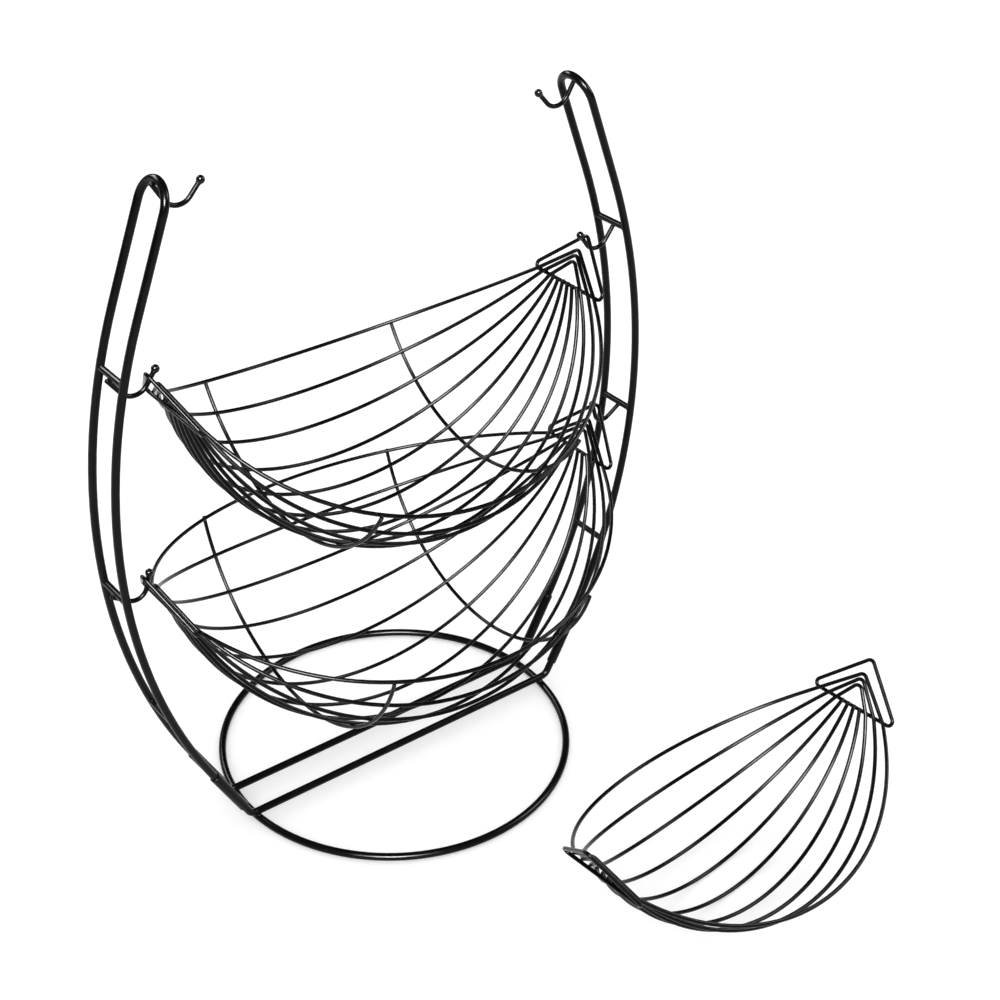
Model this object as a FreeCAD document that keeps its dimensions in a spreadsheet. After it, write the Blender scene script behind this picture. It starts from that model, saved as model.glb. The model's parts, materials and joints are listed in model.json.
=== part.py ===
import FreeCAD, Part
import math
import os
import Sketcher

Vector = FreeCAD.Vector

# Tiered wire basket: a ring base with two hairpin arms, hooks on the arms,
# two baskets hung on the hooks and one basket set down beside the stand.
# Millimetres and degrees, +Z up, origin at the ring's centre on the floor.
SIZES = (
    ("ring_radius", 143.0),
    ("rod_diameter", 6.0),
    ("rod_spacing", 34.0),
    ("weld_sink", 0.1),
    ("bar_overhang", 1.0),
    ("bar_bend_radius", 8.0),
    ("sleeve_diameter", 8.0),
    ("sleeve_length", 48.0),
    ("sleeve_clearance", 0.05),
    ("sleeve_standoff", 8.0),
    ("sleeve_gap", 2.0),
    ("arm_lower_lean", 28.6),
    ("arm_lower_radius", 470.0),
    ("arm_widest_height", 282.0),
    ("arm_upper_radius", 480.0),
    ("arm_upper_lean", 21.0),
    ("arm_top_height", 536.0),
    ("crossbar_diameter", 5.0),
    ("middle_crossbar_height", 411.0),
    ("lower_crossbar_height", 246.5),
    ("brace_height", 128.0),
    ("hook_diameter", 3.5),
    ("hook_lap", 1.0),
    ("hook_shank_angle", 38.0),
    ("hook_shank", 14.2),
    ("hook_bend_radius", 11.7),
    ("lower_hook_bend_radius", 9.2),
    ("hook_tip_angle", 69.5),
    ("hook_tip_length", 12.3),
    ("hook_seat", 8.0),
    ("ball_diameter", 6.0),
    ("ball_clearance", 0.02),
    ("wire_diameter", 3.0),
    ("hanger_height", 35.0),
    ("hanger_lean", 27.0),
    ("hanger_half_width", 39.0),
    ("hanger_clearance", 0.3),
    ("hanger_swing", 30.0),
    ("hanger_corner_radius", 3.5),
    ("hung_rib_count", 6),
    ("rib_pitch", 5.6),
    ("rib_overhang", 0.5),
    ("loop_straight", 10.0),
    ("loop_bend_radius", 8.0),
    ("vee_bend_radius", 4.0),
    ("rim_reach", 34.5),
    ("second_reach", 27.5),
    ("third_reach", 18.5),
    ("rim_vee_height", 27.0),
    ("second_vee_height", 22.5),
    ("third_vee_height", 17.5),
    ("hoop_end", 0.5),
    ("upper_hoop_offset", 86.0),
    ("upper_hoop_radius", 138.5),
    ("upper_hoop_angle", 59.5),
    ("upper_hoop_drop", 123.5),
    ("lower_hoop_offset", 89.5),
    ("lower_hoop_radius", 141.5),
    ("lower_hoop_angle", 72.5),
    ("lower_hoop_drop", 128.0),
    ("top_rib_count", 4),
    ("top_hanger_half_width", 35.5),
    ("top_rim_reach", 30.5),
    ("top_second_reach", 22.0),
    ("top_third_reach", 14.3),
    ("top_belly_radius", 109.0),
    ("top_belly_angle", 57.0),
    ("top_belly_drop", 90.5),
    ("top_place_x", 108.5),
    ("top_place_y", -282.5),
    ("top_place_turn", 5.5),
)

doc = FreeCAD.newDocument("tiered_wire_basket")
sheet = doc.addObject("Spreadsheet::Sheet", "sizes")
for row, (alias, number) in enumerate(SIZES, start=1):
    sheet.set(f"A{row}", alias)
    sheet.set(f"B{row}", str(number))
    sheet.setAlias(f"B{row}", alias)
doc.recompute()

nodes = []
TOUCH = 1e-6


def size(alias):
    return float(sheet.get(alias))


def angle(alias):
    return math.radians(size(alias))


def keep(obj, label):
    obj.Label = label
    nodes.append(obj)
    return obj


def turned(position, x_axis, y_axis, z_axis):
    return FreeCAD.Placement(position, FreeCAD.Rotation(x_axis, y_axis, z_axis, "ZXY"))


def side_sign(side):
    return 1.0 if side == "right" else -1.0


def on_side(vector, sign):
    return Vector(sign * vector.x, vector.y, vector.z)


def arc_edge(start, middle, end):
    return Part.Arc(start, middle, end).toShape()


# Stand: heights and points shared by the pieces that meet on it.
ROD = size("rod_diameter") / 2
SINK = size("weld_sink")
ROW = size("rod_spacing") / 2
LOW = angle("arm_lower_lean")
BAR_Z = 3 * ROD - SINK
BAR_HALF = math.sqrt(size("ring_radius") ** 2 - ROW ** 2) + size("bar_overhang")
BEND_TURN = math.pi / 2 - LOW
LEG_DIRECTION = Vector(math.sin(LOW), 0, math.cos(LOW))
SPIGOT = (size("sleeve_length") - size("sleeve_gap")) / 2


def bend_end():
    radius = size("bar_bend_radius")
    rise = radius * (1 - math.cos(BEND_TURN))
    return Vector(BAR_HALF + radius * math.sin(BEND_TURN), 0, BAR_Z + rise)


LEG_FOOT = bend_end()
LOWER_BOW_RISE = size("arm_lower_radius") * math.sin(LOW)
LEG_STRAIGHT = (size("arm_widest_height") - LOWER_BOW_RISE - LEG_FOOT.z) / math.cos(LOW)
LOWER_TANGENT = LEG_FOOT + LEG_DIRECTION * LEG_STRAIGHT
ARM_HALF_SPAN = LOWER_TANGENT.x + size("arm_lower_radius") * (1 - math.cos(LOW))
WIDEST = Vector(ARM_HALF_SPAN, 0, size("arm_widest_height"))
SLEEVE_FOOT = size("sleeve_standoff")
SLEEVE_TOP = SLEEVE_FOOT + size("sleeve_length")
BAR_END = SLEEVE_FOOT + SPIGOT
ARM_END = BAR_END + size("sleeve_gap")


def arm_curve(turn):
    """Point on the bowed part of an arm, turn measured up from its widest point."""
    radius = size("arm_upper_radius") if turn > 0 else size("arm_lower_radius")
    return WIDEST + Vector(radius * (math.cos(turn) - 1), 0, radius * math.sin(turn))


def upper_lean():
    """Lean at the top: the set one, or what the upper bow has reached at the return bend."""
    rise = size("arm_top_height") - size("arm_widest_height")
    radius = size("arm_upper_radius")
    reached = math.asin(min(1.0, rise / math.hypot(radius, ROW))) - math.atan2(ROW, radius)
    return min(angle("arm_upper_lean"), reached)


HIGH = upper_lean()
TOP_DIRECTION = Vector(-math.sin(HIGH), 0, math.cos(HIGH))


def leg_at(distance):
    """Point on a leg, the distance measured up it from the end of the bar's bend."""
    if distance <= LEG_STRAIGHT:
        return LEG_FOOT + LEG_DIRECTION * distance
    return arm_curve((distance - LEG_STRAIGHT) / size("arm_lower_radius") - LOW)


def leg_edges(stops, place):
    """Straight stretch of a leg from the first stop, then its bow from stop to stop, put in place."""
    edges = []
    if stops[0] < LEG_STRAIGHT:
        straight_end = min(stops[-1], LEG_STRAIGHT)
        edges.append(Part.makeLine(place(leg_at(stops[0])), place(leg_at(straight_end))))
    bowed = [max(stops[0], LEG_STRAIGHT)] + [s for s in stops[1:] if s > LEG_STRAIGHT]
    for start, end in zip(bowed, bowed[1:]):
        points = [leg_at(start), leg_at((start + end) / 2), leg_at(end)]
        edges.append(arc_edge(*[place(p) for p in points]))
    return edges


def arm_turn(height):
    """Inward lean of an arm at a height."""
    rise = height - WIDEST.z
    radius = size("arm_upper_radius") if rise > 0 else size("arm_lower_radius")
    bow = math.asin(max(-1.0, min(1.0, rise / radius)))
    return max(-LOW, min(HIGH, bow))


def arm_at(height):
    """Point on an arm's centreline at a height."""
    turn = arm_turn(height)
    bow = arm_curve(turn)
    along = (height - bow.z) / math.cos(turn)
    return bow + Vector(-math.sin(turn), 0, math.cos(turn)) * along


HOOK_FALL = angle("hook_shank_angle")
HOOK_TIP = angle("hook_tip_angle")
HOOK_TURN = HOOK_FALL + HOOK_TIP


class Tier:
    """A right-hand hook: it laps its carrier from outside and below, and leans with the arm."""

    def __init__(self, height, carrier, bend):
        turn = arm_turn(height)
        up = Vector(-math.sin(turn), 0, math.cos(turn))
        inward = Vector(-math.cos(turn), 0, -math.sin(turn))
        self.place = arm_at(height)
        self.fall = inward * math.cos(HOOK_FALL) - up * math.sin(HOOK_FALL)
        self.under = -inward * math.sin(HOOK_FALL) - up * math.cos(HOOK_FALL)
        self.tip = inward * math.cos(HOOK_TIP) + up * math.sin(HOOK_TIP)
        self.bend_alias = bend
        touch = self.place + self.under * ((size(carrier) + size("hook_diameter")) / 2 - SINK)
        self.start = touch - self.fall * size("hook_lap")
        self.bend = touch + self.fall * size("hook_shank") - self.under * size(bend)
        tip_foot = self.bend + (inward * math.sin(HOOK_TIP) - up * math.cos(HOOK_TIP)) * size(bend)
        self.ball = tip_foot + self.tip * size("hook_tip_length")
        self.seat = self.ball - self.tip * size("hook_seat")


TIERS = {
    "top": Tier(size("arm_top_height"), "rod_diameter", "hook_bend_radius"),
    "middle": Tier(size("middle_crossbar_height"), "crossbar_diameter", "hook_bend_radius"),
    "lower": Tier(size("lower_crossbar_height"), "crossbar_diameter", "lower_hook_bend_radius"),
}
BRACE = arm_at(size("brace_height"))


# Helpers for bodies with sketches and for swept wires.
def new_body(name):
    return doc.addObject("PartDesign::Body", name)


def plane_sketch(body, role, name):
    plane = [f for f in body.Origin.OriginFeatures if f.Role == role][0]
    sketch = body.newObject("Sketcher::SketchObject", name)
    sketch.AttachmentSupport = [(plane, "")]
    sketch.MapMode = "FlatFace"
    return sketch


def bind(sketch, constraint, name, expression):
    number = sketch.addConstraint(constraint)
    sketch.renameConstraint(number, name)
    sketch.setExpression(f"Constraints.{name}", expression)


def round_profile(body, role, name, alias, down=None):
    """Circle of a wire's or rod's diameter, on the origin or a named distance below it."""
    sketch = plane_sketch(body, role, name)
    radius = size(alias) / 2
    drop = size(down) if down else 0.0
    sketch.addGeometry(Part.Circle(Vector(-drop, 0, 0), Vector(0, 0, 1), radius))
    bind(sketch, Sketcher.Constraint("Diameter", 0, 2 * radius), "diameter", f"sizes.{alias}")
    if down:
        sketch.addConstraint(Sketcher.Constraint("PointOnObject", 0, 3, -1))
        bind(sketch, Sketcher.Constraint("DistanceX", 0, 3, -1, 1, drop), "drop", f"sizes.{down}")
    else:
        sketch.addConstraint(Sketcher.Constraint("Coincident", 0, 3, -1, 1))
    return sketch


def pipe(body, profile, path):
    doc.recompute()
    feature = body.newObject("PartDesign::AdditivePipe", "Bent")
    feature.Profile = profile
    feature.Spine = (path, [f"Edge{i + 1}" for i in range(len(path.Geometry))])
    doc.recompute()
    return feature


def mirror_half(body, feature, role):
    plane = [f for f in body.Origin.OriginFeatures if f.Role == role][0]
    mirrored = body.newObject("PartDesign::Mirrored", "OtherHalf")
    mirrored.Originals = [feature]
    mirrored.MirrorPlane = (plane, [""])
    body.Tip = mirrored
    doc.recompute()


def swept(label, edges, radius):
    """Round solid of a bound radius carried along a path."""
    path = doc.addObject("Part::Feature", label + "_path")
    path.Shape = Part.Wire(edges)
    start = edges[0].Vertexes[0].Point
    tangent = edges[0].tangentAt(edges[0].FirstParameter)
    circle = doc.addObject("Part::Circle", label + "_profile")
    circle.setExpression("Radius", radius)
    circle.Placement = FreeCAD.Placement(start, FreeCAD.Rotation(Vector(0, 0, 1), tangent))
    sweep = doc.addObject("Part::Sweep", label)
    sweep.Sections = [circle]
    sweep.Spine = (path, [f"Edge{i + 1}" for i in range(len(edges))])
    sweep.Solid = True
    return sweep


def swept_pair(label, edges, alias, across):
    """Wire swept along half of its path and joined to its mirror image across the middle."""
    half = swept(label + "_half", edges, f"sizes.{alias} / 2")
    mirror = doc.addObject("Part::Mirroring", label + "_other_half")
    mirror.Source = half
    mirror.Normal = across
    whole = doc.addObject("Part::Fuse", label)
    whole.Base = half
    whole.Tool = mirror
    return whole


def cut(label, base, tool):
    left = doc.addObject("Part::Cut", label)
    left.Base = base
    left.Tool = tool
    return left


def torus_arc(label, alias, radius, half_angle, centre, middle, across):
    """Round wire bent to part of a circle, symmetric about the middle direction."""
    torus = doc.addObject("Part::Torus", label)
    torus.Radius1 = radius
    torus.setExpression("Radius2", f"sizes.{alias} / 2")
    torus.Angle3 = math.degrees(2 * half_angle)
    start = middle * math.cos(half_angle) - across * math.sin(half_angle)
    normal = middle.cross(across)
    torus.Placement = turned(centre, start, normal.cross(start), normal)
    return torus


# Stand pieces.
def build_ring():
    ring = doc.addObject("Part::Torus", "base_ring")
    ring.setExpression("Radius1", "sizes.ring_radius")
    ring.setExpression("Radius2", "sizes.rod_diameter / 2")
    ring.Placement.Base = Vector(0, 0, ROD)
    keep(ring, "base_ring")


def build_bar(label, row):
    """Base bar: straight over the ring, bent up at both ends into the sleeves."""
    radius = size("bar_bend_radius")
    corner = Vector(BAR_HALF, row, BAR_Z)
    turn = BEND_TURN / 2
    middle = corner + Vector(radius * math.sin(turn), 0, radius * (1 - math.cos(turn)))
    edges = [
        Part.makeLine(Vector(0, row, BAR_Z), corner),
        arc_edge(corner, middle, Vector(LEG_FOOT.x, row, LEG_FOOT.z)),
    ]
    edges += leg_edges([0, SLEEVE_FOOT, BAR_END], lambda p: Vector(p.x, row, p.z))
    keep(swept_pair(label, edges, "rod_diameter", Vector(1, 0, 0)), label)


def build_sleeve(label, sign, row):
    """Tube that follows the leg, and takes a bar end from below and an arm end from above."""
    stops = [SLEEVE_FOOT, BAR_END, ARM_END, SLEEVE_TOP]
    edges = leg_edges(stops, lambda p: Vector(sign * p.x, row, p.z))
    outside = swept(label + "_outside", edges, "sizes.sleeve_diameter / 2")
    bore = swept(label + "_bore", edges, "sizes.rod_diameter / 2 + sizes.sleeve_clearance")
    keep(cut(label, outside, bore), label)


def arm_edges(sign):
    """Front half of a hairpin arm: leg, two bows, leaning top and a quarter of the return bend."""
    top = TIERS["top"].place
    shoulder = top - TOP_DIRECTION * ROW
    hip = shoulder + TOP_DIRECTION * (ROW * math.sin(math.pi / 4))

    def front(point):
        return Vector(sign * point.x, -ROW, point.z)

    widest = LEG_STRAIGHT + size("arm_lower_radius") * LOW
    bow_end = arm_curve(HIGH)
    edges = leg_edges([ARM_END, SLEEVE_TOP, widest], front)
    edges.append(arc_edge(front(WIDEST), front(arm_curve(HIGH / 2)), front(bow_end)))
    if shoulder.distanceToPoint(bow_end) > TOUCH:
        edges.append(Part.makeLine(front(bow_end), front(shoulder)))
    hip_side = Vector(sign * hip.x, -ROW * math.cos(math.pi / 4), hip.z)
    edges.append(arc_edge(front(shoulder), hip_side, on_side(top, sign)))
    return edges


def build_arm(side):
    label = "arm_" + side
    edges = arm_edges(side_sign(side))
    return keep(swept_pair(label, edges, "rod_diameter", Vector(0, 1, 0)), label)


def build_crossbar(label, sign, place, arm):
    """Short bar between the two rods of an arm, its ends coped to the rods."""
    bar = doc.addObject("Part::Cylinder", label + "_rod")
    bar.setExpression("Radius", "sizes.crossbar_diameter / 2")
    bar.setExpression("Height", "sizes.rod_spacing")
    along = FreeCAD.Rotation(Vector(0, 0, 1), Vector(0, 1, 0))
    bar.Placement = FreeCAD.Placement(Vector(sign * place.x, -ROW, place.z), along)
    keep(cut(label, bar, arm), label)


def build_hook(label, sign, hook):
    """Open hook: a shank lapped on its carrier, a round bend and a straight rising tip."""
    body = new_body(label)
    path = plane_sketch(body, "XZ_Plane", "Path")
    radius = size(hook.bend_alias)
    shank = size("hook_lap") + size("hook_shank")
    centre = Vector(-radius, -shank, 0)
    bend = Part.Circle(centre, Vector(0, 0, 1), radius)
    turn = centre + Vector(math.cos(HOOK_TURN), -math.sin(HOOK_TURN), 0) * radius
    rise = Vector(-math.sin(HOOK_TURN), -math.cos(HOOK_TURN), 0)
    path.addGeometry(Part.LineSegment(Vector(0, 0, 0), Vector(0, -shank, 0)))
    path.addGeometry(Part.ArcOfCircle(bend, -HOOK_TURN, 0))
    path.addGeometry(Part.LineSegment(turn, turn + rise * size("hook_tip_length")))
    path.addConstraint(Sketcher.Constraint("Coincident", 0, 1, -1, 1))
    path.addConstraint(Sketcher.Constraint("Vertical", 0))
    path.addConstraint(Sketcher.Constraint("Tangent", 0, 2, 1, 2))
    path.addConstraint(Sketcher.Constraint("Tangent", 1, 1, 2, 1))
    bind(path, Sketcher.Constraint("Distance", 0, shank), "shank", "sizes.hook_lap + sizes.hook_shank")
    bind(path, Sketcher.Constraint("Radius", 1, radius), "bend", f"sizes.{hook.bend_alias}")
    slope = "(270 - sizes.hook_shank_angle - sizes.hook_tip_angle) * 1 deg"
    bind(path, Sketcher.Constraint("Angle", 2, 1.5 * math.pi - HOOK_TURN), "slope", slope)
    tip = Sketcher.Constraint("Distance", 2, size("hook_tip_length"))
    bind(path, tip, "tip", "sizes.hook_tip_length")
    profile = round_profile(body, "XY_Plane", "Profile", "hook_diameter")
    pipe(body, profile, path)
    away = on_side(hook.under, sign)
    body.Placement = turned(on_side(hook.start, sign), away, Vector(0, sign, 0), on_side(-hook.fall, sign))
    keep(body, label)


def build_balls(label, sign):
    """Round knobs bored to sit on the three hook tips of one arm."""
    balls = []
    for tier in TIERS:
        centre = on_side(TIERS[tier].ball, sign)
        back = on_side(-TIERS[tier].tip, sign)
        ball = doc.addObject("Part::Sphere", f"{label}_{tier}_round")
        ball.setExpression("Radius", "sizes.ball_diameter / 2")
        ball.Placement.Base = centre
        bore = doc.addObject("Part::Cylinder", f"{label}_{tier}_bore")
        bore.setExpression("Radius", "sizes.hook_diameter / 2 + sizes.ball_clearance")
        bore.setExpression("Height", "sizes.ball_diameter")
        bore.Placement = FreeCAD.Placement(centre, FreeCAD.Rotation(Vector(0, 0, 1), back))
        balls.append(cut(f"{label}_{tier}", ball, bore))
    group = doc.addObject("Part::Compound", label)
    group.Links = balls
    keep(group, label)


# Basket pieces, in a basket's own frame: z = 0 on the line through its two hook seats.
LEAN = angle("hanger_lean")
WIRE = size("wire_diameter")
LAID = WIRE - SINK
PLANE_UP = Vector(math.sin(LEAN), 0, math.cos(LEAN))
PLANE_IN = Vector(-math.cos(LEAN), 0, math.sin(LEAN))
LOOPS = ("rim", "second", "third")


class Basket:
    """Sizes of one basket: its span between hooks, the hoops its wires lie in and the bar reaches.

    The crown of a hanger clears its hook all through the swing, and is tightest at the end of it.
    """

    def __init__(self, name, tier):
        self.name = name
        self.hooped = tier != "top"
        self.ribs = round(size("hung_rib_count" if self.hooped else "top_rib_count"))
        own = "" if self.hooped else "top_"
        self.half_width = own + "hanger_half_width"
        self.reaches = [size(f"{own}{loop}_reach") for loop in LOOPS]
        self.vees = [size(f"{loop}_vee_height") for loop in LOOPS]
        kind = f"{name}_hoop" if self.hooped else f"{name}_belly"
        self.offset = size(f"{name}_hoop_offset") if self.hooped else 0.0
        self.radius = size(f"{kind}_radius")
        self.half_angle = angle(f"{kind}_angle")
        hook = TIERS[tier]
        self.seat_x = hook.seat.x if self.hooped else hook.bend.x
        self.seat_z = hook.seat.z
        swung = Vector(PLANE_IN.x, 0, PLANE_IN.z * math.cos(angle("hanger_swing")))
        self.crown = ((size("hook_diameter") + WIRE) / 2 + size("hanger_clearance")) / swung.dot(hook.tip)
        bar = Vector(self.seat_x, 0, 0) - PLANE_UP * size("hanger_height")
        self.centre_z = bar.z - size(f"{kind}_drop") + self.radius
        self.laid = bar + PLANE_IN * LAID

    def wire_angle(self, number):
        count = 2 * len(LOOPS) + self.ribs
        return self.half_angle * (2 * number / (count - 1) - 1)

    def rib_lie(self, number):
        reach = size("rib_pitch") * (number - (self.ribs - 1) / 2)
        return Lie(self, reach, self.wire_angle(number + len(LOOPS)), 0.0)


def tangent_arc(bar_x, depth, offset, straight):
    """Arc centred over x = 0 that follows a straight from the bar and passes a hoop at its depth."""
    low, high = math.radians(1), math.radians(89)
    for _ in range(60):
        slope = (low + high) / 2
        end_x = bar_x - straight * math.cos(slope)
        radius = end_x / math.sin(slope)
        centre = straight * math.sin(slope) - radius * math.cos(slope)
        if centre + math.sqrt(max(radius ** 2 - offset ** 2, 0)) < depth:
            low = slope
        else:
            high = slope
    return slope, radius, centre


class Lie:
    """Plane and arc of one long wire, from the hanger bar to the hoop it lies in."""

    def __init__(self, basket, reach, turn, straight):
        self.reach = reach
        self.bar = basket.laid
        gap = LAID if basket.hooped else 0.0
        for _ in range(8):
            radius = basket.radius - gap
            across = radius * math.sin(turn) - reach
            down = self.bar.z - basket.centre_z + radius * math.cos(turn)
            depth = math.hypot(across, down)
            self.y_step = across / depth
            self.z_step = -down / depth
            self.slope, self.radius, self.centre = tangent_arc(self.bar.x, depth, basket.offset, straight)
            steep = basket.offset / math.sqrt(self.radius ** 2 - basket.offset ** 2)
            lift = steep * (self.y_step * math.sin(turn) - self.z_step * math.cos(turn))
            gap = LAID * math.sqrt(1 + lift ** 2) if basket.hooped else 0.0

    def point(self, x, depth):
        return Vector(x, self.reach + depth * self.y_step, self.bar.z + depth * self.z_step)


def build_rib(label, lie):
    half = math.atan2(lie.bar.x, -lie.centre) + size("rib_overhang") / lie.radius
    deep = Vector(0, lie.y_step, lie.z_step)
    centre = lie.point(0, lie.centre)
    return torus_arc(label, "wire_diameter", lie.radius, half, centre, deep, Vector(1, 0, 0))


def vee_points(basket, lie, height):
    """Crown, crown bend and leg of a loop's vee, up the hanger from the bar."""
    bend = size("vee_bend_radius")
    rise = height - bend
    reach = abs(lie.reach)
    lean = math.atan2(-rise, reach) + math.acos(bend / math.hypot(reach, rise))
    flat = [(0, height)]
    for turn in ((lean + math.pi / 2) / 2, lean):
        flat.append((bend * math.cos(turn), rise + bend * math.sin(turn)))
    return [basket.laid + PLANE_UP * up + Vector(0, -across, 0) for across, up in flat]


def half_loop(basket, lie, height):
    """Right-hand half of a loop's front path: vee, bend at the hanger bar and start of the long arc."""
    crown, hip, leg_top = vee_points(basket, lie, height)
    corner = lie.point(basket.laid.x, 0)
    straight = size("loop_straight")
    start = lie.point(corner.x - straight * math.cos(lie.slope), straight * math.sin(lie.slope))
    up = (leg_top - corner).normalize()
    away = (start - corner).normalize()
    inner = (up + away).normalize()
    half = up.getAngle(inner)
    bend = size("loop_bend_radius")
    middle = corner + inner * (bend / math.sin(half) - bend)
    tangent = bend / math.tan(half)
    return [crown, hip, leg_top, corner + up * tangent, middle, corner + away * tangent, start]


def loop_edges(basket, lie, height):
    right = half_loop(basket, lie, height)
    left = [Vector(-p.x, p.y, p.z) for p in right]
    bottom = lie.point(0, lie.centre + lie.radius)
    edges = []
    for chain, onward in ((right, True), (left, False)):
        crown, hip, leg_top, bend_in, bend_mid, bend_out, start = chain
        run = [
            (crown, hip, leg_top),
            (leg_top, bend_in),
            (bend_in, bend_mid, bend_out),
            (bend_out, start),
        ]
        for points in run if onward else [p[::-1] for p in run[::-1]]:
            edges.append(arc_edge(*points) if len(points) == 3 else Part.makeLine(*points))
        if onward:
            edges.append(arc_edge(start, bottom, left[-1]))
    return edges


def hanger_path(body, basket):
    """Half of a hanger's rounded triangle: bar, corner, leg and half of the crown over the hook."""
    path = plane_sketch(body, "XY_Plane", "Path")
    crown = basket.crown
    corner = size("hanger_corner_radius")
    height = size("hanger_height")
    wide = size(basket.half_width) - corner
    foot = Vector(wide, corner - height, 0)
    lean = math.atan2(foot.y, foot.x) + math.acos((crown - corner) / foot.Length)
    out = Vector(math.cos(lean), math.sin(lean), 0)
    axis = Vector(0, 0, 1)
    path.addGeometry(Part.LineSegment(Vector(0, -height, 0), Vector(wide, -height, 0)))
    path.addGeometry(Part.ArcOfCircle(Part.Circle(foot, axis, corner), -math.pi / 2, lean))
    path.addGeometry(Part.LineSegment(foot + out * corner, out * crown))
    path.addGeometry(Part.ArcOfCircle(Part.Circle(Vector(0, 0, 0), axis, crown), lean, math.pi / 2))
    path.addConstraint(Sketcher.Constraint("PointOnObject", 0, 1, -2))
    path.addConstraint(Sketcher.Constraint("Horizontal", 0))
    path.addConstraint(Sketcher.Constraint("Tangent", 0, 2, 1, 1))
    path.addConstraint(Sketcher.Constraint("Tangent", 1, 2, 2, 1))
    path.addConstraint(Sketcher.Constraint("Tangent", 2, 2, 3, 1))
    path.addConstraint(Sketcher.Constraint("Coincident", 3, 3, -1, 1))
    path.addConstraint(Sketcher.Constraint("PointOnObject", 3, 2, -2))
    bind(path, Sketcher.Constraint("DistanceY", 0, 1, -1, 1, height), "height", "sizes.hanger_height")
    half = f"sizes.{basket.half_width} - sizes.hanger_corner_radius"
    bind(path, Sketcher.Constraint("DistanceX", -1, 1, 1, 3, wide), "half_width", half)
    bind(path, Sketcher.Constraint("Radius", 1, corner), "corner", "sizes.hanger_corner_radius")
    path.addConstraint(Sketcher.Constraint("Radius", 3, crown))
    return path


def build_hanger(basket, label, sign):
    body = new_body(label)
    path = hanger_path(body, basket)
    profile = round_profile(body, "YZ_Plane", "Profile", "wire_diameter", "hanger_height")
    mirror_half(body, pipe(body, profile, path), "YZ_Plane")
    up = Vector(sign * PLANE_UP.x, 0, PLANE_UP.z)
    along = Vector(0, sign, 0)
    body.Placement = turned(Vector(sign * basket.seat_x, 0, 0), along, up, along.cross(up))
    return body


def build_hoop(basket, label, sign):
    half = basket.half_angle + size("hoop_end") / basket.radius
    centre = Vector(sign * basket.offset, 0, basket.centre_z)
    down = Vector(0, 0, -1)
    return torus_arc(label, "wire_diameter", basket.radius, half, centre, down, Vector(0, 1, 0))


def basket_pieces(basket):
    """Every piece of a basket with its label, still in the basket's own frame."""
    pieces = []
    for side in ("left", "right"):
        label = f"{basket.name}_hanger_{side}"
        pieces.append((label, build_hanger(basket, label, side_sign(side))))
    for number, loop in enumerate(LOOPS):
        label = f"{basket.name}_{loop}_loop"
        lie = Lie(basket, -basket.reaches[number], basket.wire_angle(number), size("loop_straight"))
        edges = loop_edges(basket, lie, basket.vees[number])
        pieces.append((label, swept_pair(label, edges, "wire_diameter", Vector(0, 1, 0))))
    for number in range(basket.ribs):
        label = f"{basket.name}_rib_{number + 1}"
        pieces.append((label, build_rib(label, basket.rib_lie(number))))
    if basket.hooped:
        for side in ("left", "right"):
            label = f"{basket.name}_hoop_{side}"
            pieces.append((label, build_hoop(basket, label, side_sign(side))))
    return pieces


def place_basket(basket, spot):
    pieces = basket_pieces(basket)
    doc.recompute()
    for label, piece in pieces:
        piece.Placement = spot.multiply(piece.Placement)
        keep(piece, label)


def resting_height(basket):
    """Height of a basket's seat line when its deepest ribs stand on the floor."""
    middle = basket.rib_lie(basket.ribs // 2)
    return WIRE / 2 - middle.point(0, middle.centre + middle.radius).z


build_ring()
for depth, row in (("front", -ROW), ("rear", ROW)):
    build_bar("base_bar_" + depth, row)
    for side in ("left", "right"):
        build_sleeve(f"sleeve_{side}_{depth}", side_sign(side), row)
for side in ("left", "right"):
    sign = side_sign(side)
    arm = build_arm(side)
    for tier in ("middle", "lower"):
        build_crossbar(f"crossbar_{side}_{tier}", sign, TIERS[tier].place, arm)
    build_crossbar("brace_" + side, sign, BRACE, arm)
    for tier in TIERS:
        build_hook(f"hook_{side}_{tier}", sign, TIERS[tier])
    build_balls("hook_balls_" + side, sign)

for name, tier in (("upper", "middle"), ("lower", "lower")):
    hung = Basket(name, tier)
    place_basket(hung, FreeCAD.Placement(Vector(0, 0, hung.seat_z), FreeCAD.Rotation()))
loose = Basket("top", "top")
floor_spot = Vector(size("top_place_x"), size("top_place_y"), resting_height(loose))
place_basket(loose, FreeCAD.Placement(floor_spot, FreeCAD.Rotation(Vector(0, 0, 1), size("top_place_turn"))))

doc.recompute()
os.makedirs("parts", exist_ok=True)
for obj in doc.Objects:
    if "Invalid" in obj.State or "Error" in obj.State:
        raise RuntimeError(f"{obj.Label} did not build: {obj.State}")
for node in nodes:
    if node.Shape.isNull() or not node.Shape.isValid():
        raise RuntimeError(f"{node.Label} has no valid shape")
    node.Shape.exportStep(f"parts/{node.Label}.step")
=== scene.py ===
import json
import math
import bpy
import numpy as np
from mathutils import Matrix, Vector

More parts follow.
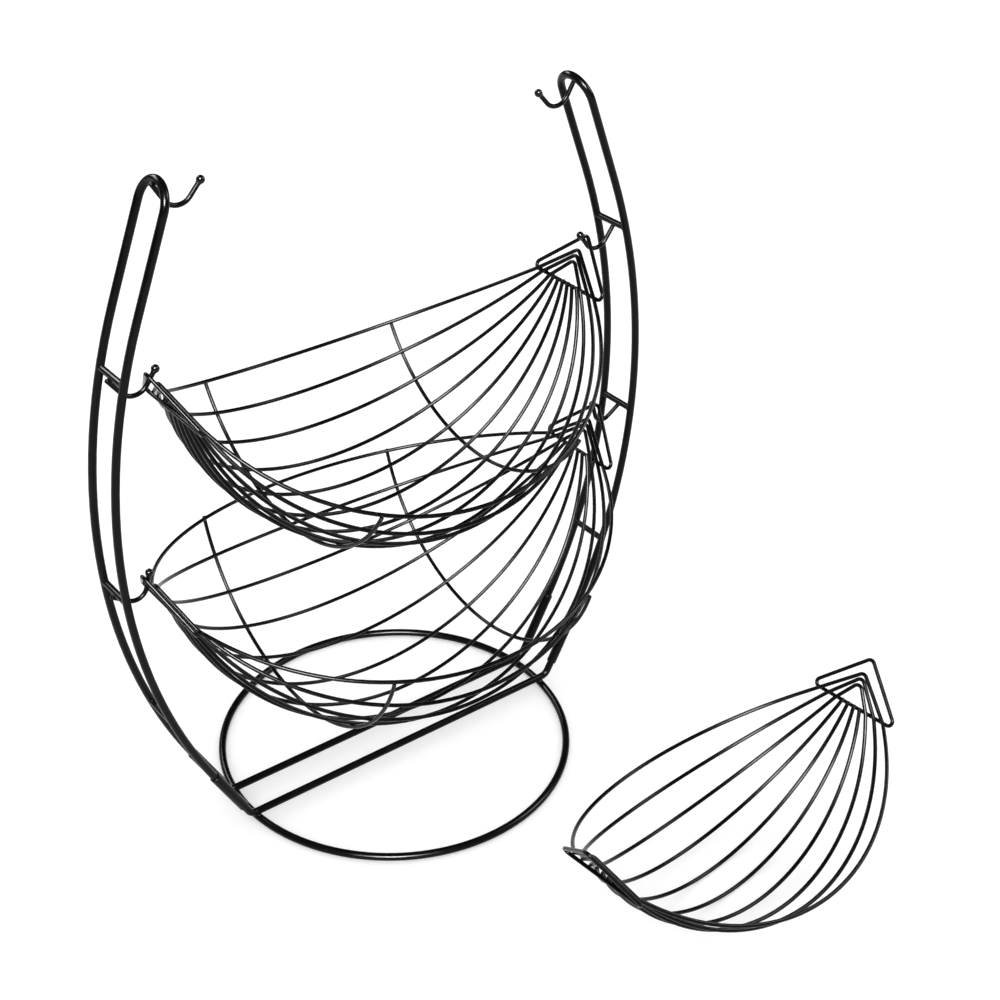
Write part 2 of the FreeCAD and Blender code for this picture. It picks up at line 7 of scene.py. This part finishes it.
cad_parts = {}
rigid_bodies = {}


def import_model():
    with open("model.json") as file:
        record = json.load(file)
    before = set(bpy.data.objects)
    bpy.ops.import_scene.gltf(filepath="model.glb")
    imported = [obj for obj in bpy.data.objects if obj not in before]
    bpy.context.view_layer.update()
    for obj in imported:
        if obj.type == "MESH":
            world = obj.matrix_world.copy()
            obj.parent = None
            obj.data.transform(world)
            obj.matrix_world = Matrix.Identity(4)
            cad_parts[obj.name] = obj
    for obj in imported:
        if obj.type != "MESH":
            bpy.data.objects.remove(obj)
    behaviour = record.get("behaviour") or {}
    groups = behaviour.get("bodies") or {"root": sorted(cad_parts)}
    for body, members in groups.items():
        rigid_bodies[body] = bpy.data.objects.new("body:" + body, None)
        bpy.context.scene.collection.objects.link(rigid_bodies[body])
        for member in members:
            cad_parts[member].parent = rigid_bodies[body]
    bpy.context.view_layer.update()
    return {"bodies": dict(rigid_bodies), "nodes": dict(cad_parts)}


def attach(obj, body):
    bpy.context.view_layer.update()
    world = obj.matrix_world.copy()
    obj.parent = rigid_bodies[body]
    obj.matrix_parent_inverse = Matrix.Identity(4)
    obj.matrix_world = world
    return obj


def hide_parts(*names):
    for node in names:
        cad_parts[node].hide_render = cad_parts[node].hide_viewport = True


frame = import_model()
nodes = frame["nodes"]


# black paint: one lacquer in four mixes, glossier on the hook balls and rougher on the welds
lacquer = {
    "rod": {"dark": (0.0022, 0.0022, 0.0023), "light": (0.0052, 0.0052, 0.0054),
            "rough": (0.17, 0.27), "peel": 0.10, "gloss": 0.105},
    "wire": {"dark": (0.0010, 0.0010, 0.0011), "light": (0.0030, 0.0030, 0.0032),
             "rough": (0.19, 0.28), "peel": 0.06, "gloss": 0.11},
    "knob": {"dark": (0.0030, 0.0030, 0.0032), "light": (0.0055, 0.0055, 0.0058),
             "rough": (0.10, 0.16), "peel": 0.04, "gloss": 0.20},
    "weld": {"dark": (0.0035, 0.0035, 0.0037), "light": (0.0080, 0.0080, 0.0083),
             "rough": (0.22, 0.36), "peel": 0.25, "gloss": 0.09},
}
# grain of the coat: scale and detail of each noise, the band of it in use, depth of the peel in metres
coat = {"flow": (90.0, 3.0), "peel": (1400.0, 2.0), "band": (0.3, 0.7), "depth": 0.0004}


def blackLacquer(name, look):
    mat = bpy.data.materials.new(name)
    mat.use_nodes = True
    tree = mat.node_tree
    shader = tree.nodes["Principled BSDF"]
    shader.inputs["Specular IOR Level"].default_value = look["gloss"]
    place = tree.nodes.new("ShaderNodeTexCoord")

    def grain(scale, detail):
        noise = tree.nodes.new("ShaderNodeTexNoise")
        noise.inputs["Scale"].default_value = scale
        noise.inputs["Detail"].default_value = detail
        tree.links.new(place.outputs["Object"], noise.inputs["Vector"])
        return noise

    def spread(noise, low, high):
        ramp = tree.nodes.new("ShaderNodeMapRange")
        ramp.inputs["From Min"].default_value = coat["band"][0]
        ramp.inputs["From Max"].default_value = coat["band"][1]
        ramp.inputs["To Min"].default_value = low
        ramp.inputs["To Max"].default_value = high
        tree.links.new(noise.outputs["Fac"], ramp.inputs["Value"])
        return ramp

    flow = grain(*coat["flow"])  # slow drift of the coat along the metal
    peel = grain(*coat["peel"])  # orange peel, well under a millimetre
    tone = tree.nodes.new("ShaderNodeMix")
    tone.data_type = "RGBA"
    tone.inputs["A"].default_value = (*look["dark"], 1.0)
    tone.inputs["B"].default_value = (*look["light"], 1.0)
    tree.links.new(flow.outputs["Fac"], tone.inputs["Factor"])
    tree.links.new(tone.outputs["Result"], shader.inputs["Base Color"])
    tree.links.new(spread(flow, *look["rough"]).outputs["Result"], shader.inputs["Roughness"])
    bump = tree.nodes.new("ShaderNodeBump")
    bump.inputs["Strength"].default_value = look["peel"]
    bump.inputs["Distance"].default_value = coat["depth"]
    tree.links.new(peel.outputs["Fac"], bump.inputs["Height"])
    tree.links.new(bump.outputs["Normal"], shader.inputs["Normal"])
    return mat


paint = {kind: blackLacquer(kind + "Lacquer", look) for kind, look in lacquer.items()}
standRods = ("base_", "arm_", "sleeve_", "crossbar_", "brace_")
for name, node in nodes.items():
    if name.startswith("hook_balls"):
        kind = "knob"
    elif name.startswith(standRods):
        kind = "rod"
    else:
        kind = "wire"
    node.data.materials.clear()
    node.data.materials.append(paint[kind])
print("lacquer on every node")


# centrelines of the bent wires, read back from the node meshes; stock holds radii in metres
stock = {"base_": 0.003, "arm_": 0.003, "crossbar_": 0.0025, "brace_": 0.0025, "hook_": 0.00175}
basketWire = 0.0015
tracing = {"cell": 0.0006, "ringVertices": 8, "step": 0.0004, "straighter": 3.0, "tiny": 1e-9}
shortBars = ("crossbar_", "brace_")
closedWires = ("_ring", "_loop", "_hanger_left", "_hanger_right")


def stockRadius(name):
    known = (radius for start, radius in stock.items() if name.startswith(start))
    return next(known, basketWire)


def unit(vectors):
    return vectors / np.linalg.norm(vectors, axis=-1, keepdims=True)


def meshArrays(name):
    mesh = nodes[name].data
    points = np.empty(3 * len(mesh.vertices))
    normals = np.empty_like(points)
    mesh.vertices.foreach_get("co", points)
    mesh.vertex_normals.foreach_get("vector", normals)
    return points.reshape(-1, 3), normals.reshape(-1, 3)


def ringCentres(name):
    # every vertex stepped in by the wire's radius lands on its ring's centre
    points, normals = meshArrays(name)
    centres = points - stockRadius(name) * normals
    cells = np.round(centres / tracing["cell"]).astype(int)
    found, member, count = np.unique(cells, axis=0, return_inverse=True, return_counts=True)
    sums = np.zeros((len(found), 3))
    np.add.at(sums, member.ravel(), centres)
    return (sums / count[:, None])[count >= tracing["ringVertices"]]


def ringChain(name):
    # next ring: the nearest one, farther ones preferred when they lie straight ahead
    left = ringCentres(name)
    here = left[np.argmax(np.linalg.norm(left - left.mean(axis=0), axis=1))]
    ahead = np.zeros(3)
    chain = []
    while len(left):
        step = left - here
        far = np.linalg.norm(step, axis=1)
        bend = 1.0 - step @ ahead / np.maximum(far, tracing["tiny"])
        pick = np.argmin(far * (1.0 + tracing["straighter"] * bend))
        if not chain:
            chain.append(left[pick])
        elif far[pick] > tracing["cell"]:
            chain.append(left[pick])
            ahead = step[pick] / far[pick]
        here = chain[-1]
        left = np.delete(left, pick, axis=0)
    return np.array(chain + chain[:1] if name.endswith(closedWires) else chain)


def barAxis(name):
    # short bars run front to back: through the middle of the mesh's box, out to both its ends
    points = meshArrays(name)[0]
    low, high = points.min(axis=0), points.max(axis=0)
    middle, reach = (low + high) / 2, np.array([0.0, (high - low)[1] / 2, 0.0])
    return np.array([middle - reach, middle + reach])


def traceLine(name):
    # the chain laid out again in even steps, with its direction at each
    chain = barAxis(name) if name.startswith(shortBars) else ringChain(name)
    along = np.r_[0.0, np.cumsum(np.linalg.norm(np.diff(chain, axis=0), axis=1))]
    at = np.linspace(0.0, along[-1], int(along[-1] / tracing["step"]) + 2)
    line = np.stack([np.interp(at, along, chain[:, axis]) for axis in range(3)], axis=1)
    return {"line": line, "radius": stockRadius(name), "heading": unit(np.gradient(line, axis=0))}


skipped = ("sleeve_", "hook_balls")
lines = {name: traceLine(name) for name in nodes if not name.startswith(skipped)}
print("centrelines traced:", len(lines))


# surfaces: every shell is a grid of points, row by row round its axis
def gridFaces(rows, columns, joined):
    # two triangles to a cell; columns always meet, the last row meets the first one only when joined
    cell = np.arange(rows * columns).reshape(rows, columns)
    ahead, below = np.roll(cell, -1, 1), np.roll(cell, -1, 0)
    corner = np.roll(ahead, -1, 0)
    kept = rows if joined else rows - 1
    first = np.stack([cell, ahead, corner], axis=-1)[:kept]
    second = np.stack([cell, corner, below], axis=-1)[:kept]
    return np.vstack([first.reshape(-1, 3), second.reshape(-1, 3)])


def outward(points, faces):
    # six times the volume, summed over the faces: a negative one means that they look inward
    corner = points[faces] - points.mean(axis=0)
    volume = np.einsum("ij,ij->", corner[:, 0], np.cross(corner[:, 1], corner[:, 2]))
    return faces if volume > 0 else faces[:, ::-1]


def ringShell(grid):
    # last row joined to the first, as on a torus
    points = grid.reshape(-1, 3)
    return points, outward(points, gridFaces(*grid.shape[:2], True))


def cappedShell(grid):
    # first and last row each closed by a fan to its middle point
    rows, columns = grid.shape[:2]
    points = np.vstack([grid.reshape(-1, 3), grid[0].mean(axis=0), grid[-1].mean(axis=0)])
    low = np.arange(columns)
    high = low + (rows - 1) * columns
    bottom = np.stack([np.full(columns, rows * columns), np.roll(low, -1), low], axis=-1)
    top = np.stack([np.full(columns, rows * columns + 1), high, np.roll(high, -1)], axis=-1)
    return points, outward(points, np.vstack([gridFaces(rows, columns, False), bottom, top]))


leaning = 0.9  # share of Y in a heading past which it is crossed with X instead


def frameAround(heading):
    # two directions square to the heading and to each other
    aside = (0.0, 1.0, 0.0) if abs(heading[1]) < leaning else (1.0, 0.0, 0.0)
    side = unit(np.cross(heading, aside))
    return side, np.cross(heading, side)


def revolve(centre, heading, along, radius, count):
    # profile turned about a line: so far along it, so far out from it, count points to a turn
    side, other = frameAround(heading)
    turn = np.linspace(0.0, 2 * np.pi, count, endpoint=False)
    spoke = np.cos(turn)[:, None] * side + np.sin(turn)[:, None] * other
    return centre + along[:, None, None] * heading + radius[:, None, None] * spoke


def addSurface(name, shells, body, kind):
    # all shells in one mesh, each one's corner numbers moved past the points before it
    starts = np.cumsum([0] + [len(points) for points, faces in shells])
    points = np.vstack([points for points, faces in shells])
    faces = np.vstack([faces + start for (points, faces), start in zip(shells, starts)])
    mesh = bpy.data.meshes.new(name)
    mesh.from_pydata(points.tolist(), [], faces.tolist())
    mesh.polygons.foreach_set("use_smooth", np.ones(len(faces), bool))
    mesh.materials.append(paint[kind])
    piece = bpy.data.objects.new(name, mesh)
    bpy.context.scene.collection.objects.link(piece)
    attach(piece, body)
    return piece


bodyOf = {"upper": "upper_basket", "lower": "lower_basket", "top": "top_basket"}


def carrier(name):
    return bodyOf.get(name.split("_")[0], "stand")


# crossing welds: a pinched neck between two wires that lie across each other
neck = {"round": 14, "rows": 5, "along": 1.05, "across": 0.82, "pinch": 0.16, "sink": 0.25,
        "reach": 0.00025, "parallel": 0.94, "uneven": 0.06, "seed": 11}
dice = np.random.default_rng(neck["seed"])


def near(a, b, margin):
    # which points of a lie in the box of b grown by the margin
    low, high = b.min(axis=0) - margin, b.max(axis=0) + margin
    return np.flatnonzero(np.all((a > low) & (a < high), axis=1))


def crossings(first, second):
    # closest points of each stretch where two wires touch, unless they run side by side there
    touch = first["radius"] + second["radius"] + neck["reach"]
    mine = near(first["line"], second["line"], touch)
    if not len(mine):
        return []
    theirs = near(second["line"], first["line"][mine], touch)
    if not len(theirs):
        return []
    gaps = np.linalg.norm(first["line"][mine][:, None] - second["line"][theirs][None], axis=2)
    closest = gaps.argmin(axis=1)
    least = gaps.min(axis=1)
    hits = np.flatnonzero(least < touch)
    runs = np.split(hits, np.flatnonzero(np.diff(mine[hits]) > 1) + 1) if len(hits) else []
    best = [run[np.argmin(least[run])] for run in runs]
    pairs = [(mine[k], theirs[closest[k]]) for k in best]
    turned = [abs(first["heading"][i] @ second["heading"][j]) < neck["parallel"] for i, j in pairs]
    return [pair for pair, across in zip(pairs, turned) if across]


def rimOn(heading, normal, radius, spot, turn, up):
    # ellipse on the wire's flank: along it by cos, across it by sin, height from the circle of the wire
    side = np.cross(normal, heading)
    lengthways = neck["along"] * radius * np.cos(turn)
    sideways = neck["across"] * radius * np.sin(turn)
    lift = radius - np.sqrt(radius ** 2 - sideways ** 2)
    flat = spot + lengthways[:, None] * heading + sideways[:, None] * side
    return flat + up * lift[:, None] * normal


def neckGrid(first, i, second, j):
    # point(turn, part) = mix of the two rims by part, drawn in by pinch times 1 - (2 part - 1)^2
    a, b = first["line"][i], second["line"][j]
    normal = unit(a - b)
    spot = b + normal * second["radius"]
    turn = np.linspace(0.0, 2 * np.pi, neck["round"], endpoint=False)
    headA, headB = first["heading"][i], second["heading"][j]
    lean = np.arctan2(np.dot(np.cross(headA, headB), normal), np.dot(headA, headB))
    upper = rimOn(headA, normal, first["radius"], spot, turn, 1.0)
    lower = rimOn(headB, normal, second["radius"], spot, turn - lean, -1.0)
    rough = 1.0 + neck["uneven"] * dice.standard_normal(neck["round"])
    part = np.linspace(0.0, 1.0, neck["rows"])[:, None, None]
    waist = 1.0 - neck["pinch"] * (1.0 - (2.0 * part - 1.0) ** 2) * rough[:, None]
    rows = spot + (lower + part * (upper - lower) - spot) * waist
    under = spot + (lower - spot - normal * second["radius"]) * neck["sink"]
    over = spot + (upper - spot + normal * first["radius"]) * neck["sink"]
    return np.concatenate([under[None], rows, over[None]])


# coped ends: a bead round the end of a short bar where it meets the rod
bead = {"round": 24, "flare": 0.00045, "climb": 0.0011, "sink": 0.0004, "ripple": 0.00008,
        "ripples": 7, "deepest": 0.995, "widen": (-1.0, 0.0, 0.25, 0.55, 1.0, -1.0),
        "rise": (1.0, 1.0, 0.45, 0.18, 0.0, -1.0)}


def copedGrid(bar, rod, k):
    # saddle line: at angle t round the bar the rod's surface is sqrt(R^2 - (r sin t)^2) from its axis,
    # and the profile of widen and rise stands on that line
    axis = rod["line"][k]
    into = unit(axis - bar["line"][len(bar["line"]) // 2])
    lengthways = rod["heading"][k]
    side = np.cross(into, lengthways)
    turn = np.linspace(0.0, 2 * np.pi, bead["round"], endpoint=False)
    widen, rise = np.array(bead["widen"])[:, None], np.array(bead["rise"])[:, None]
    radius = bar["radius"] + np.where(widen < 0, bead["sink"], bead["flare"]) * widen
    height = np.where(rise < 0, bead["sink"], bead["climb"]) * rise
    height = height + bead["ripple"] * np.sin(bead["ripples"] * turn) * (widen >= 0) * (rise > 0)
    sunk = np.minimum(radius * np.abs(np.sin(turn)), bead["deepest"] * rod["radius"])
    deep = np.sqrt(rod["radius"] ** 2 - sunk ** 2)
    spoke = np.cos(turn)[:, None] * lengthways + np.sin(turn)[:, None] * side
    return axis - into * (deep + height)[:, :, None] + radius[:, :, None] * spoke


welds = {body: [] for body in frame["bodies"]}
ordered = sorted(lines)
for number, one in enumerate(ordered):
    for other in ordered[number + 1:]:
        coped = one.startswith("arm_") and other.startswith(shortBars)  # these get beads below
        if coped or carrier(one) != carrier(other):
            continue
        for i, j in crossings(lines[one], lines[other]):
            welds[carrier(one)].append(cappedShell(neckGrid(lines[one], i, lines[other], j)))
print("crossing welds:", {body: len(found) for body, found in welds.items()})
for name in filter(lambda each: each.startswith(shortBars), ordered):
    rod = lines["arm_left" if "_left" in name else "arm_right"]
    for end in (lines[name]["line"][0], lines[name]["line"][-1]):
        k = np.argmin(np.linalg.norm(rod["line"] - end, axis=1))
        welds["stand"].append(ringShell(copedGrid(lines[name], rod, k)))
for body, shells in welds.items():
    addSurface("welds_" + body, shells, body, "weld")
print("welds and beads:", sum(len(shells) for shells in welds.values()))

# cut ends of wire: a low paint-rounded dome on each
dome = {"round": 16, "rings": 6, "steepest": 84.0, "bulge": 0.45, "sink": 0.3, "sleek": 0.985}


def domeGrid(tip, heading, radius):
    # a ring sunk in the wire, then rings at angle v: sleek radius cos v out, bulge radius sin v along
    v = np.radians(np.linspace(0.0, dome["steepest"], dome["rings"]))
    along = np.r_[-dome["sink"], dome["bulge"] * np.sin(v)] * radius
    wide = np.r_[1.0, np.cos(v)] * dome["sleek"] * radius
    return revolve(tip, heading, along, wide, dome["round"])


ends = {body: [] for body in frame["bodies"]}
for name in ordered:
    line, heading, radius = lines[name]["line"], lines[name]["heading"], lines[name]["radius"]
    tips = [(line[0], -heading[0]), (line[-1], heading[-1])]
    if "_rib_" in name or "_hoop_" in name:
        ends[carrier(name)] += [cappedShell(domeGrid(tip, out, radius)) for tip, out in tips]
    elif name.startswith("hook_"):
        tip, out = max(tips, key=lambda each: abs(each[0][0]))
        ends["stand"].append(cappedShell(domeGrid(tip, out, radius)))
for body, shells in ends.items():
    addSurface("wireEnds_" + body, shells, body, "wire")
print("rounded wire ends:", sum(len(shells) for shells in ends.values()))

# collars: a bead of paint where each hook runs into its ball
collar = {"round": 20, "ball": 0.003, "height": 0.0006, "wide": 0.00035, "profile": 8}
collars = []
for name in filter(lambda each: each.startswith("hook_"), ordered):
    line, heading, radius = lines[name]["line"], lines[name]["heading"], lines[name]["radius"]
    if abs(line[0][0]) < abs(line[-1][0]):
        centre, back = line[0], heading[0]
    else:
        centre, back = line[-1], -heading[-1]
    mouth = centre + back * math.sqrt(collar["ball"] ** 2 - radius ** 2)
    # oval section turned about the hook: radius + wide cos p out, height sin p along
    p = np.linspace(0.0, 2 * np.pi, collar["profile"], endpoint=False)
    section = collar["height"] * np.sin(p), radius + collar["wide"] * np.cos(p)
    collars.append(ringShell(revolve(mouth, back, *section, collar["round"])))
addSurface("ballCollars", collars, "stand", "knob")
print("ball collars:", len(collars))

# sleeves: tubes with softly turned lips in place of the square-cut ones
sleeve = {"round": 40, "lipSteps": 6, "lip": 0.0007, "bore": 0.00305, "wall": 0.004, "rim": 0.0004}


def sleeveGrid(name):
    # profile round the wall: the bore's edge, a quarter-round lip, the outside, then the same mirrored
    points = meshArrays(name)[0]
    middle = points.mean(axis=0)
    axis = np.linalg.svd(points - middle, full_matrices=False)[2][0]
    far = (points - middle) @ axis
    start = points[far < far.min() + sleeve["rim"]].mean(axis=0)
    end = points[far > far.max() - sleeve["rim"]].mean(axis=0)
    length = np.linalg.norm(end - start)
    q = np.linspace(0.0, np.pi / 2, sleeve["lipSteps"])
    along = np.r_[0.0, sleeve["lip"] * (1.0 - np.cos(q))]
    radius = np.r_[sleeve["bore"], sleeve["wall"] - sleeve["lip"] * (1.0 - np.sin(q))]
    along, radius = np.r_[along, length - along[::-1]], np.r_[radius, radius[::-1]]
    return revolve(start, unit(end - start), along, radius, sleeve["round"])


for name in filter(lambda each: each.startswith("sleeve_"), nodes):
    piece = addSurface("tube_" + name, [ringShell(sleeveGrid(name))], "stand", "rod")
    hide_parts(name)
print("sleeves turned")


# pale floor that runs out of every view
studio = {"floorSize": 30.0, "floorTone": (0.80, 0.80, 0.80), "floorGlow": 0.30, "floorRough": 0.9,
          "worldTone": (1.0, 1.0, 1.0), "worldPower": 1.0}


def makeFloor():
    half = studio["floorSize"] / 2
    corners = np.array([(-1, -1, 0), (1, -1, 0), (1, 1, 0), (-1, 1, 0)], float) * half
    mesh = bpy.data.meshes.new("studioFloor")
    mesh.from_pydata(corners.tolist(), [], [(0, 1, 2, 3)])
    floor = bpy.data.objects.new("studioFloor", mesh)
    bpy.context.scene.collection.objects.link(floor)
    mat = bpy.data.materials.new("paleFloor")
    mat.use_nodes = True
    shader = mat.node_tree.nodes["Principled BSDF"]
    shader.inputs["Base Color"].default_value = (*studio["floorTone"], 1.0)
    shader.inputs["Roughness"].default_value = studio["floorRough"]
    shader.inputs["Specular IOR Level"].default_value = 0.0
    # lit from under a little, as a packshot table is
    shader.inputs["Emission Color"].default_value = (*studio["worldTone"], 1.0)
    shader.inputs["Emission Strength"].default_value = studio["floorGlow"]
    mesh.materials.append(mat)


makeFloor()
world = bpy.data.worlds.new("whiteStudio")
bpy.context.scene.world = world
world.use_nodes = True
sky = world.node_tree.nodes["Background"]
sky.inputs["Color"].default_value = (*studio["worldTone"], 1.0)
sky.inputs["Strength"].default_value = studio["worldPower"]
# the white surround lights the paint but stays out of its gloss
world.cycles_visibility.glossy = False

# a broad far key keeps the floor even, a glint gives the wires their sheen, soft boxes add streaks
keyLight = {"azimuth": -38.0, "elevation": 44.0, "spread": 24.0, "power": 0.5}
glint = {"azimuth": -37.0, "elevation": 40.0, "spread": 22.0, "power": 20.0}
sunDistance = 3.0
softBoxes = {
    "sideBox": {"at": (2.2, -1.2, 1.9), "aim": (0.05, -0.08, 0.25),
                "wide": 0.7, "high": 1.3, "power": 70.0},
    "rearBox": {"at": (-0.6, 2.2, 1.9), "aim": (0.0, 0.0, 0.25),
                "wide": 1.6, "high": 0.6, "power": 70.0},
}


def towards(azimuth, elevation):
    # azimuth 0 is the front, positive to the right
    a, e = math.radians(azimuth), math.radians(elevation)
    return Vector((math.sin(a) * math.cos(e), -math.cos(a) * math.cos(e), math.sin(e)))


def hang(name, light, at, back):
    lamp = bpy.data.objects.new(name, light)
    lamp.location = at
    lamp.rotation_mode = "QUATERNION"
    lamp.rotation_quaternion = (-back).to_track_quat("-Z", "Y")
    bpy.context.scene.collection.objects.link(lamp)
    return lamp


def hangSun(name, look):
    sun = bpy.data.lights.new(name, "SUN")
    sun.energy = look["power"]
    sun.angle = math.radians(look["spread"])
    back = towards(look["azimuth"], look["elevation"])
    return hang(name, sun, back * sunDistance, back)


hangSun("keyLight", keyLight)
# the glint and the boxes show in the gloss alone, so the floor keeps its one soft shadow
hangSun("glint", glint).visible_diffuse = False
for name, box in softBoxes.items():
    light = bpy.data.lights.new(name, "AREA")
    light.shape = "RECTANGLE"
    light.size = box["wide"]
    light.size_y = box["high"]
    light.energy = box["power"]
    lamp = hang(name, light, box["at"], Vector(box["at"]) - Vector(box["aim"]))
    lamp.visible_diffuse = False
print("studio lit by a key, a glint and", len(softBoxes), "soft boxes")

# camera of the photograph: angles in degrees, lengths in metres, lens and sensor in millimetres
lens = {"azimuth": -36.504, "elevation": 31.584, "pivot": (0.0, 0.0, 0.325), "back": 1.27244,
        "right": 0.05329, "up": -0.05777, "focal": 62.066, "sensor": 36.0,
        "shiftX": 0.0416, "shiftY": -0.024}


def makeCamera():
    back = towards(lens["azimuth"], lens["elevation"])
    right = Vector((0.0, 0.0, 1.0)).cross(back).normalized()
    up = back.cross(right)
    data = bpy.data.cameras.new("photoCamera")
    data.sensor_width = lens["sensor"]
    data.lens = lens["focal"]
    data.shift_x = lens["shiftX"]
    data.shift_y = lens["shiftY"]
    camera = bpy.data.objects.new("photoCamera", data)
    camera.rotation_mode = "QUATERNION"
    camera.rotation_quaternion = Matrix((right, up, back)).transposed().to_quaternion()
    behind = Vector(lens["pivot"]) + back * lens["back"]
    camera.location = behind + right * lens["right"] + up * lens["up"]
    bpy.context.scene.collection.objects.link(camera)
    bpy.context.scene.camera = camera


makeCamera()
bpy.context.scene.view_settings.view_transform = "Standard"
print("camera set")
